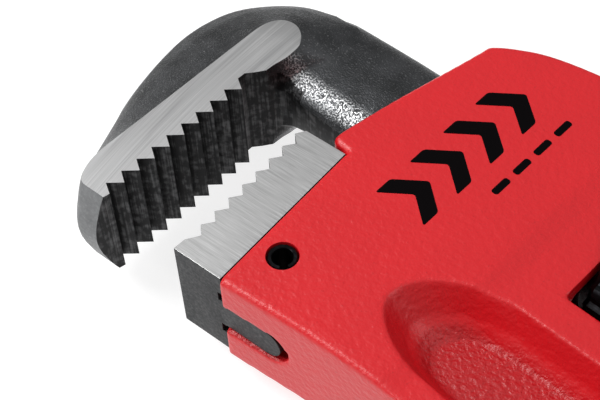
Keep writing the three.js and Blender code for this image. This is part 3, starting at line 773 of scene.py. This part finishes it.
@dataclass
class HookJaw:
    """The sliding jaw: a forging with ground pads, broached teeth and a flattened, threaded shank."""

    finishes: Finishes
    half: float = 11.2
    rim: float = 7.0
    bulge: float = 2.4
    samples: int = 64
    shank_half: float = 7.2
    shank_top: float = 61.8
    throat: tuple[tuple[float, float], ...] = ((-18.74, 33.2), (-17.6, 34.8), (-16.4, 36.2), (-14.8, 37.2),
                                               (-13.0, 37.5))
    throat_end: float = -0.5
    throat_low: float = 31.6
    lead_in: tuple[tuple[float, float], ...] = ((-20.6, -20.0), (-17.66, -6.1))
    rake: float = 0.615
    tip_below: float = -6.0
    neck_shade_x: tuple[float, float] = (-20.0, -11.0)  # the neck's faces toward the mouth that get the broached black as painted shade
    neck_shade_y: tuple[float, float] = (30.0, 39.0)
    soften: int = 10
    thread_start: float = 30.0
    voxel: float = 0.5
    pitch: float = 3.852
    tip_x: float = -17.59
    depth: float = 2.5
    first_root_y: float = -4.85
    teeth: int = 9

    def rim_outline(self, out: float) -> list[Vector]:
        """Gives the outer outline at the rim, moved outwards.

        Args:
            out: How far outwards, away from the tip, in millimetres.

        Returns:
            Points from the tip round the back to the neck.
        """
        line = curve_through([(-27.4, -4.2), (-29.6, 0.2), (-33, 8.6), (-36.2, 17.3), (-38.5, 27),
                              (-39.2, 35.5), (-37.4, 44), (-33.2, 50.2), (-27, 55.4), (-20, 58)], self.samples)
        moved = []
        for i, point in enumerate(line):
            ahead, behind = line[min(i + 1, self.samples - 1)], line[max(i - 1, 0)]
            along = (ahead - behind).normalized()
            grown = out * min(i / (0.25 * self.samples), 1.0)
            moved.append(point + grown * Vector((-along.y, along.x, 0)))
        return moved

    def pad_outline(self) -> list[Vector]:
        """Gives the ground pad's outline, with as many points as the rim's."""
        straight = [Vector((-25.9, -4.5, 0)), Vector((-26.4, -2.8, 0)), Vector((-26.7, -0.8, 0))]
        straight += [Vector((-26.75, 41.4 * i / 44, 0)) for i in range(1, 45)]
        end = curve_through([(-26.75, 41.4), (-26.3, 44.4), (-25.05, 46.6), (-23.5, 47.55), (-21.84, 47.8),
                             (-20.6, 47.5)], self.samples - len(straight) + 1)
        return straight + end[1:]

    def level(self, height: float, outer: list[Vector], low: float, out: float) -> list[Vector]:
        """Gives one ring of the jaw.

        Args:
            height: The ring's height over mid-thickness.
            outer: Its outer outline, from the tip to the neck.
            low: How far the tip reaches down.
            out: How far the ring has spread from the pad, 0, to the rim, 1.

        Returns:
            The closed ring.
        """
        pad_end = [(-19.6, 47.05), (-18.3, 46), (-17.1, 44.3), (-16.9, 43), (-16.8, 40), (-17.3, 37.4)]
        rim_end = [(-14.5, 58.5), (-10.5, 54), (-11, 48), (-13, 44.5), (-14.5, 41), (-15.5, 38)]
        inner = [Vector((*a, 0)).lerp(Vector((*b, 0)), out) for a, b in zip(pad_end, rim_end)]
        inner += [Vector((x, y, 0)) for x, y in [(-17.4, 34.6), (-19.9, 31.4), (-17, 29), (-17, 17), (-17, 5),
                                                 (-17, low), (-18.5, low), (-23.6, low - 0.35),
                                                 (-24.9, low + 0.7)]]
        return [Vector((p.x, p.y, height)) for p in outer + inner]

    def blank(self) -> bmesh.types.BMesh:
        """Makes the forged jaw and neck before any machining, as overlapping shells."""
        pad, rim = self.pad_outline(), self.rim_outline(0)

        def across(part: float) -> list[Vector]:
            return [a.lerp(b, part) if part >= 0 else a + (b - a) * part for a, b in zip(pad, rim)]

        # Each level: its height, its outer outline, how low the tip is and its spread from pad to rim.
        levels = [(12.4, across(-0.32), -6.9, -0.3), (self.half, across(0), -7.45, 0),
                  (10.0, across(0.36), -8.0, 0.3), (8.6, across(0.72), -8.6, 0.65), (self.rim, rim, -9.1, 1),
                  (4.6, self.rim_outline(self.bulge * 0.6), -9.9, 1),
                  (2.2, self.rim_outline(self.bulge * 0.92), -10.4, 1), (0, self.rim_outline(self.bulge), -10.6, 1)]
        rings = [self.level(-h, *rest) for h, *rest in levels]
        rings += [self.level(h, *rest) for h, *rest in reversed(levels[:-1])]
        bm = bmesh.new()
        add_loft(bm, rings)
        add_loft(bm, self.neck_rings())
        return bm

    def neck_rings(self) -> list[list[Vector]]:
        """Gives the sections that run from the jaw into the plain shank."""
        # Each section: its x, its y from and to, and its half height.
        top, flat = self.shank_top, self.shank_half
        sections = [(-26, 36, 56.5, 6.4), (-22, 34.4, 59.2, flat), (-18.6, 34.4, 60.6, 7.5),
                    (-16.4, 35.2, 61, 7.7), (-13.6, 36.8, 61.2, 7.5), (-10.4, 37.2, 61.4, 7.3),
                    (-6.5, 37.2, 61.6, flat), (0, 37.3, top, flat), (12, 38.6, top, flat), (20, 39.2, top, flat),
                    (self.thread_start + 0.4, 39.2, top, flat)]
        around = 64
        rings = []
        for x, low, high, half in sections:
            ring = []
            for i in range(around):
                angle = 2 * math.pi * (i + 0.5) / around
                c, s = math.cos(angle), math.sin(angle)
                ring.append(Vector((x, (low + high) / 2 + (high - low) / 2 * math.copysign(abs(c) ** 0.6, c),
                                    half * math.copysign(abs(s) ** 0.55, s))))
            rings.append(ring)
        return rings

    def tooth_cutter(self) -> bpy.types.Object:
        """Makes what the broach takes away: everything in front of the raked teeth."""
        root_x = self.tip_x - self.depth
        outline = [(self.throat_end, self.throat[-1][1]), (self.throat_end, self.lead_in[0][1]), *self.lead_in]
        for k in range(self.teeth + 1):
            root_y = self.first_root_y + k * self.pitch
            outline.append((root_x, root_y))
            if k < self.teeth:
                outline.append((self.tip_x, root_y + self.rake * self.pitch))
        outline += [(root_x, self.throat_low), *self.throat]
        bm = bmesh.new()
        add_prism(bm, outline[::-1], 20)
        return scratch("broach", bm, [self.finishes.broached])

    def pad_slab(self) -> bpy.types.Object:
        """Makes the slab between the two grinding wheels."""
        bm = bmesh.new()
        add_box(bm, (-60, -30, -self.half), (60, 90, self.half))
        return scratch("slab", bm, [self.finishes.pad_ground])

    def build(self) -> None:
        """Forges, grinds and broaches the jaw, darkens the neck beside the throat with painted shade, then adds its
        threaded shank.
        """
        jaw = scratch("hook_jaw", self.blank(), [self.finishes.forged])
        fuse(jaw, self.voxel, self.soften)
        cut(jaw, self.pad_slab(), "INTERSECT")
        cut(jaw, self.tooth_cutter(), "DIFFERENCE")
        jaw.data.materials.append(self.finishes.tip_face)
        cut_face = jaw.data.materials.find(self.finishes.broached.name)
        for face in (f for f in jaw.data.polygons if f.material_index == 0):
            if face.normal.y < -0.7 and face.center.y < self.tip_below:
                face.material_index = len(jaw.data.materials) - 1
            # Painted shade: neck faces toward the mouth beside the throat take the near-black broached finish, for
            # the shadow under the neck's fold.
            elif (face.normal.y < -0.3 and self.neck_shade_y[0] < face.center.y < self.neck_shade_y[1]
                  and self.neck_shade_x[0] < face.center.x < self.neck_shade_x[1]):
                face.material_index = cut_face
        place(jaw, "hook_jaw_forging", "hook", "forged_steel", ["hook_jaw"], crease=28)
        self.build_thread()

    def build_thread(self) -> None:
        """Makes the threaded part of the shank out of the CAD node."""
        bm = cad_copy("hook_jaw")
        bmesh.ops.bisect_plane(bm, geom=[*bm.verts, *bm.edges, *bm.faces], dist=0.001,
                               plane_co=(self.thread_start + 0.3, 0, 0), plane_no=(-1, 0, 0), clear_outer=True)
        edges = [e for e in bm.edges if e.is_boundary]
        bmesh.ops.triangle_fill(bm, edges=edges, use_beauty=True)
        bmesh.ops.dissolve_limit(bm, angle_limit=math.radians(1), verts=bm.verts, edges=bm.edges)
        bevel_sharp(bm, 0.12, 30, 1)
        thread = scratch("thread", bm, [self.finishes.forged])
        place(thread, "hook_jaw_thread", "hook", "forged_steel", crease=40)


@dataclass
class SpringPin:
    """The rolled spring pin that holds the heel jaw: a slotted tube with turned-in ends."""

    finishes: Finishes
    centre: tuple[float, float] = (16.56, 3.3)
    radius: float = 2.98
    bore: float = 1.95
    half: float = 11.8
    chamfer: float = 0.4
    slit_at: float = math.radians(-40)
    slit: float = math.radians(40)

    def build(self) -> None:
        """Spins the tube's wall round, all but its slit."""
        r, b, h, c = self.radius, self.bore, self.half, self.chamfer
        wall = [(b, -h + 0.15), (b + 0.15, -h), (r - c, -h), (r - 0.12, -h + c * 0.8), (r, -h + 1.5 * c),
                (r, h - 1.5 * c), (r - 0.12, h - c * 0.8), (r - c, h), (b + 0.15, h), (b, h - 0.15)]
        spot = HEEL_TO_DRAWING @ Vector((*self.centre, 0))
        bm = bmesh.new()
        verts = [bm.verts.new((x, 0, z)) for x, z in wall]
        start = [bm.faces.new(verts)]
        bmesh.ops.rotate(bm, verts=verts, cent=(0, 0, 0),
                         matrix=Matrix.Rotation(self.slit_at + self.slit / 2, 3, "Z"))
        bmesh.ops.spin(bm, geom=start + verts + list(bm.edges), cent=(0, 0, 0), axis=(0, 0, 1),
                       angle=2 * math.pi - self.slit, steps=56, use_merge=False)
        bmesh.ops.translate(bm, verts=bm.verts, vec=(spot.x, spot.y, 0))
        bmesh.ops.recalc_face_normals(bm, faces=bm.faces)
        pin = scratch("pin", bm, [self.finishes.oxide])
        place(pin, "heel_jaw_spring_pin", "handle", "black_oxide_steel", ["heel_jaw_pin"])


@dataclass
class Nut:
    """The knurled adjusting nut."""

    finishes: Finishes
    edge: float = 0.25

    def build(self) -> None:
        """Breaks the edges of the nut's ribs."""
        bm = cad_copy("adjusting_nut")
        bmesh.ops.dissolve_limit(bm, angle_limit=math.radians(1), verts=bm.verts, edges=bm.edges)
        bevel_sharp(bm, self.edge, 25, 2)
        nut = scratch("nut", bm, [self.finishes.oxide])
        place(nut, "adjusting_nut_knurled", "nut", "black_oxide_steel", ["adjusting_nut"])


@dataclass
class Springs:
    """The leaf spring, its rivet and the coil spring, which the rocking jaw presses together."""

    finishes: Finishes
    coil_foot: tuple[float, float, float] = (34.0, 27.1, 0.0)
    pressed: float = 0.7

    def build(self) -> None:
        """Dresses the leaf and its rivet, and remakes the coil spring as a piece with a mesh of its own."""
        for node in ("flat_spring", "spring_rivet"):
            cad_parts[node].data.materials.clear()
            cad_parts[node].data.materials.append(self.finishes.spring)
        coil = scratch("coil", cad_copy("coil_spring"), [self.finishes.spring])
        place(coil, "coil_spring_wire", "handle", "spring_steel", ["coil_spring"])
        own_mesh(coil)


# ---------------------------------------------------------------- studio

@dataclass
class Set:
    """Paper floor, soft lights and the camera."""

    finishes: Finishes
    camera_mm: tuple[float, float, float] = (132.39, -100.43, 228.09)
    look: tuple[float, float, float] = (-0.44642, 0.42347, -0.78828)
    right: tuple[float, float, float] = (0.72552, 0.68693, -0.04186)
    lens: float = 90.75
    aim_mm: tuple[float, float, float] = (10.0, 25.0, 0.0)
    floor_half_mm: float = 4000.0
    horizon: float = 0.22
    zenith: float = 0.62

    def build(self) -> None:
        """Sets up the floor, lights, world and camera."""
        self.build_floor()
        self.build_world()
        self.build_camera()
        self.add_softbox("key", (-300, -130, 445), (280, 280), 2.4)
        self.add_softbox("kicker", (-270, -400, 260), (110, 110), 0.6)
        self.add_softbox("fill", (760, 420, 800), (500, 500), 1.6)
        bpy.context.scene.view_settings.view_transform = "Standard"

    def build_floor(self) -> None:
        """Lays the paper under the wrench."""
        bm = bmesh.new()
        bmesh.ops.create_grid(bm, x_segments=2, y_segments=2, size=self.floor_half_mm)
        floor = scratch("paper_floor", bm, [self.finishes.paper])
        floor.data.transform(Matrix.Scale(MM, 4))

    def build_world(self) -> None:
        """Gives the room its even pale light."""
        world = bpy.data.worlds.new("studio")
        world.use_nodes = True
        tree = world.node_tree
        height = add(tree, "SeparateXYZ", {0: add(tree, "TexCoord").outputs["Generated"]}).outputs["Z"]
        ramp = add(tree, "MapRange", {"Value": height, "From Min": 0.0, "From Max": 0.9,
                                      "To Min": self.horizon, "To Max": self.zenith})
        tree.links.new(ramp.outputs[0], tree.nodes["Background"].inputs["Strength"])
        tree.nodes["Background"].inputs["Color"].default_value = srgb("#ffffff")
        bpy.context.scene.world = world

    def build_camera(self) -> None:
        """Stands the camera at the wrench's head."""
        look, right = Vector(self.look).normalized(), Vector(self.right).normalized()
        up = right.cross(look)
        data = bpy.data.cameras.new("camera")
        data.lens = self.lens
        data.sensor_width = 36.0
        data.clip_start = 0.01
        camera = bpy.data.objects.new("camera", data)
        turn = Matrix((right, up, -look)).transposed().to_4x4()
        camera.matrix_world = Matrix.Translation(TO_ROW @ Vector(self.camera_mm)) @ turn
        bpy.context.scene.collection.objects.link(camera)
        bpy.context.scene.camera = camera

    def add_softbox(self, name: str, spot_mm: tuple[float, float, float], size_mm: tuple[float, float],
                    watts: float) -> None:
        """Adds a rectangular soft light that faces the wrench's head.

        Args:
            name: The light's name.
            spot_mm: Where it stands, in the drawing frame.
            size_mm: Its width and height.
            watts: Its power.
        """
        data = bpy.data.lights.new(name, "AREA")
        data.shape = "RECTANGLE"
        data.size, data.size_y = size_mm[0] * MM, size_mm[1] * MM
        data.energy = watts
        light = bpy.data.objects.new(name, data)
        spot, aim = TO_ROW @ Vector(spot_mm), TO_ROW @ Vector(self.aim_mm)
        light.location = spot
        light.rotation_euler = (aim - spot).to_track_quat("-Z", "Y").to_euler()
        bpy.context.scene.collection.objects.link(light)


def main() -> None:
    """Builds the wrench's looks and the studio round it."""
    logging.basicConfig(level=logging.INFO, format="%(name)s: %(message)s")
    finishes = Finishes()
    Set(finishes).build()
    Casting(finishes).build()
    HeelJaw(finishes).build()
    HookJaw(finishes).build()
    SpringPin(finishes).build()
    Nut(finishes).build()
    Springs(finishes).build()


if __name__ == "__main__":
    main()
